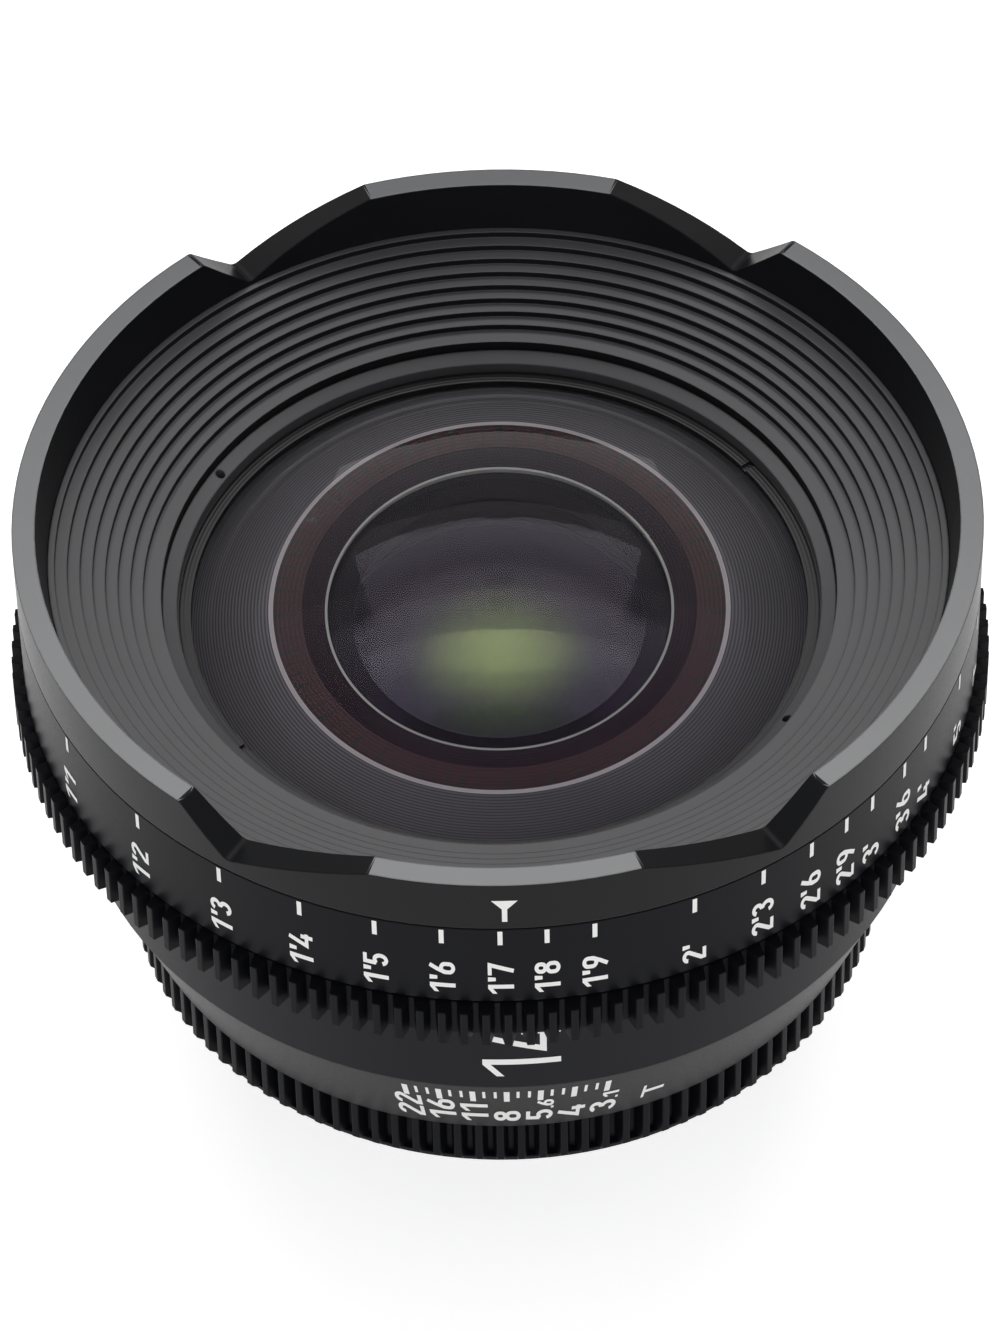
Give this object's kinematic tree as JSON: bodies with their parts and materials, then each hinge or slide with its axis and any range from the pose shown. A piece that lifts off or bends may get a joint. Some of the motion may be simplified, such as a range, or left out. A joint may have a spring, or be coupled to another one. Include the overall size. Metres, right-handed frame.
{
  "type": "cinema prime lens",
  "caption": "Wide-angle cinema prime lens with a petal hood, ribbed baffle, geared focus ring, geared iris ring with a bladed iris, and a four-lug mount.",
  "frame": {"origin": "on the optical axis, in the plane of the mount's flange seat", "axes": "+Z along the optical axis towards the front of the lens; the index marks face -Y"},
  "size_m": [0.1168, 0.1168, 0.086],
  "materials": {
    "hood_black": "satin black anodised, slightly worn bright on the rim",
    "baffle_black": "matt black anodised ribs",
    "ring_black": "satin black anodised, knurled by its gear teeth",
    "barrel_black": "satin black anodised",
    "inner_black": "matt black inside parts",
    "steel": "plain steel screws and pins",
    "mount_steel": "ground steel mount",
    "brass": "turned brass",
    "blade_steel": "thin blackened spring steel",
    "coated_glass": "clear, with a violet and green coating"
  },
  "bodies": {
    "fixed_lens": {"petal_hood": "hood_black", "hood_screws": "steel", "hood_baffle": "baffle_black", "guide_barrel": "inner_black", "guide_screws": "steel", "front_cell": "inner_black", "front_element": "coated_glass", "second_element": "coated_glass", "second_retainer": "inner_black", "glass_clamp_ring": "inner_black", "front_retainer": "baffle_black", "main_barrel": "barrel_black", "iris_plate": "inner_black", "iris_lock_ring": "inner_black", "iris_retainer": "inner_black", "iris_screws": "steel", "rear_cell": "inner_black", "rear_cell_screws": "steel", "rear_element_front": "coated_glass", "rear_spacer_front": "inner_black", "rear_doublet_front": "coated_glass", "rear_doublet_rear": "coated_glass", "rear_spacer_rear": "inner_black", "rear_element": "coated_glass", "rear_retainer": "inner_black", "rear_barrel": "barrel_black", "rear_barrel_screws": "steel", "mount_shim": "mount_steel", "lens_mount": "mount_steel", "mount_screws": "steel"},
    "focus_ring": {"focus_scale_ring": "ring_black", "focus_gear_ring": "ring_black", "focus_ring_screws": "steel", "focus_cam_sleeve": "brass", "focus_stop_pin": "steel"},
    "focus_group": {"focus_cell": "inner_black", "focus_followers": "steel", "focus_doublet_rear": "coated_glass", "focus_doublet_front": "coated_glass", "focus_spacer": "inner_black", "focus_element_front": "coated_glass", "focus_retainer": "inner_black"},
    "iris_ring": {"iris_ring": "ring_black", "iris_drive_screw": "steel", "iris_rotor": "brass"},
    "blade_01": {"iris_blade_01": "blade_steel"},
    "blade_02": {"iris_blade_02": "blade_steel"},
    "blade_03": {"iris_blade_03": "blade_steel"},
    "blade_04": {"iris_blade_04": "blade_steel"},
    "blade_05": {"iris_blade_05": "blade_steel"},
    "blade_06": {"iris_blade_06": "blade_steel"},
    "blade_07": {"iris_blade_07": "blade_steel"},
    "blade_08": {"iris_blade_08": "blade_steel"},
    "blade_09": {"iris_blade_09": "blade_steel"},
    "blade_10": {"iris_blade_10": "blade_steel"},
    "blade_11": {"iris_blade_11": "blade_steel"}
  },
  "joints": [
    {"name": "focus_turn", "type": "hinge", "parent": "fixed_lens", "child": "focus_ring", "pos_m": [0, 0, 0.05], "axis": [0, 0, 1], "range_deg": [-110, 90]},
    {"name": "focus_slide", "type": "slide", "parent": "fixed_lens", "child": "focus_group", "axis": [0, 0, 1], "range_m": [-0.0022, 0.0018]},
    {"name": "iris_turn", "type": "hinge", "parent": "fixed_lens", "child": "iris_ring", "pos_m": [0, 0, 0.02], "axis": [0, 0, 1], "range_deg": [-13.9, 13.9]},
    {"name": "blade_01_swing", "type": "hinge", "parent": "fixed_lens", "child": "blade_01", "pos_m": [0.0185, 0, 0.0215], "axis": [0, 0, 1], "range_deg": [-15, 15]},
    {"name": "blade_02_swing", "type": "hinge", "parent": "fixed_lens", "child": "blade_02", "pos_m": [0.01556, 0.01, 0.0215], "axis": [0, 0, 1], "range_deg": [-15, 15]},
    {"name": "blade_03_swing", "type": "hinge", "parent": "fixed_lens", "child": "blade_03", "pos_m": [0.00769, 0.01683, 0.0215], "axis": [0, 0, 1], "range_deg": [-15, 15]},
    {"name": "blade_04_swing", "type": "hinge", "parent": "fixed_lens", "child": "blade_04", "pos_m": [-0.00263, 0.01831, 0.0215], "axis": [0, 0, 1], "range_deg": [-15, 15]},
    {"name": "blade_05_swing", "type": "hinge", "parent": "fixed_lens", "child": "blade_05", "pos_m": [-0.01211, 0.01398, 0.0215], "axis": [0, 0, 1], "range_deg": [-15, 15]},
    {"name": "blade_06_swing", "type": "hinge", "parent": "fixed_lens", "child": "blade_06", "pos_m": [-0.01775, 0.00521, 0.0215], "axis": [0, 0, 1], "range_deg": [-15, 15]},
    {"name": "blade_07_swing", "type": "hinge", "parent": "fixed_lens", "child": "blade_07", "pos_m": [-0.01775, -0.00521, 0.0215], "axis": [0, 0, 1], "range_deg": [-15, 15]},
    {"name": "blade_08_swing", "type": "hinge", "parent": "fixed_lens", "child": "blade_08", "pos_m": [-0.01211, -0.01398, 0.0215], "axis": [0, 0, 1], "range_deg": [-15, 15]},
    {"name": "blade_09_swing", "type": "hinge", "parent": "fixed_lens", "child": "blade_09", "pos_m": [-0.00263, -0.01831, 0.0215], "axis": [0, 0, 1], "range_deg": [-15, 15]},
    {"name": "blade_10_swing", "type": "hinge", "parent": "fixed_lens", "child": "blade_10", "pos_m": [0.00769, -0.01683, 0.0215], "axis": [0, 0, 1], "range_deg": [-15, 15]},
    {"name": "blade_11_swing", "type": "hinge", "parent": "fixed_lens", "child": "blade_11", "pos_m": [0.01556, -0.01, 0.0215], "axis": [0, 0, 1], "range_deg": [-15, 15]}
  ],
  "couplings": [
    {"joint": "focus_slide", "follows": "focus_turn", "m_per_rad": 0.0011459},
    {"joint": "blade_01_swing", "follows": "iris_turn", "ratio": 1.0791},
    {"joint": "blade_02_swing", "follows": "iris_turn", "ratio": 1.0791},
    {"joint": "blade_03_swing", "follows": "iris_turn", "ratio": 1.0791},
    {"joint": "blade_04_swing", "follows": "iris_turn", "ratio": 1.0791},
    {"joint": "blade_05_swing", "follows": "iris_turn", "ratio": 1.0791},
    {"joint": "blade_06_swing", "follows": "iris_turn", "ratio": 1.0791},
    {"joint": "blade_07_swing", "follows": "iris_turn", "ratio": 1.0791},
    {"joint": "blade_08_swing", "follows": "iris_turn", "ratio": 1.0791},
    {"joint": "blade_09_swing", "follows": "iris_turn", "ratio": 1.0791},
    {"joint": "blade_10_swing", "follows": "iris_turn", "ratio": 1.0791},
    {"joint": "blade_11_swing", "follows": "iris_turn", "ratio": 1.0791}
  ]
}
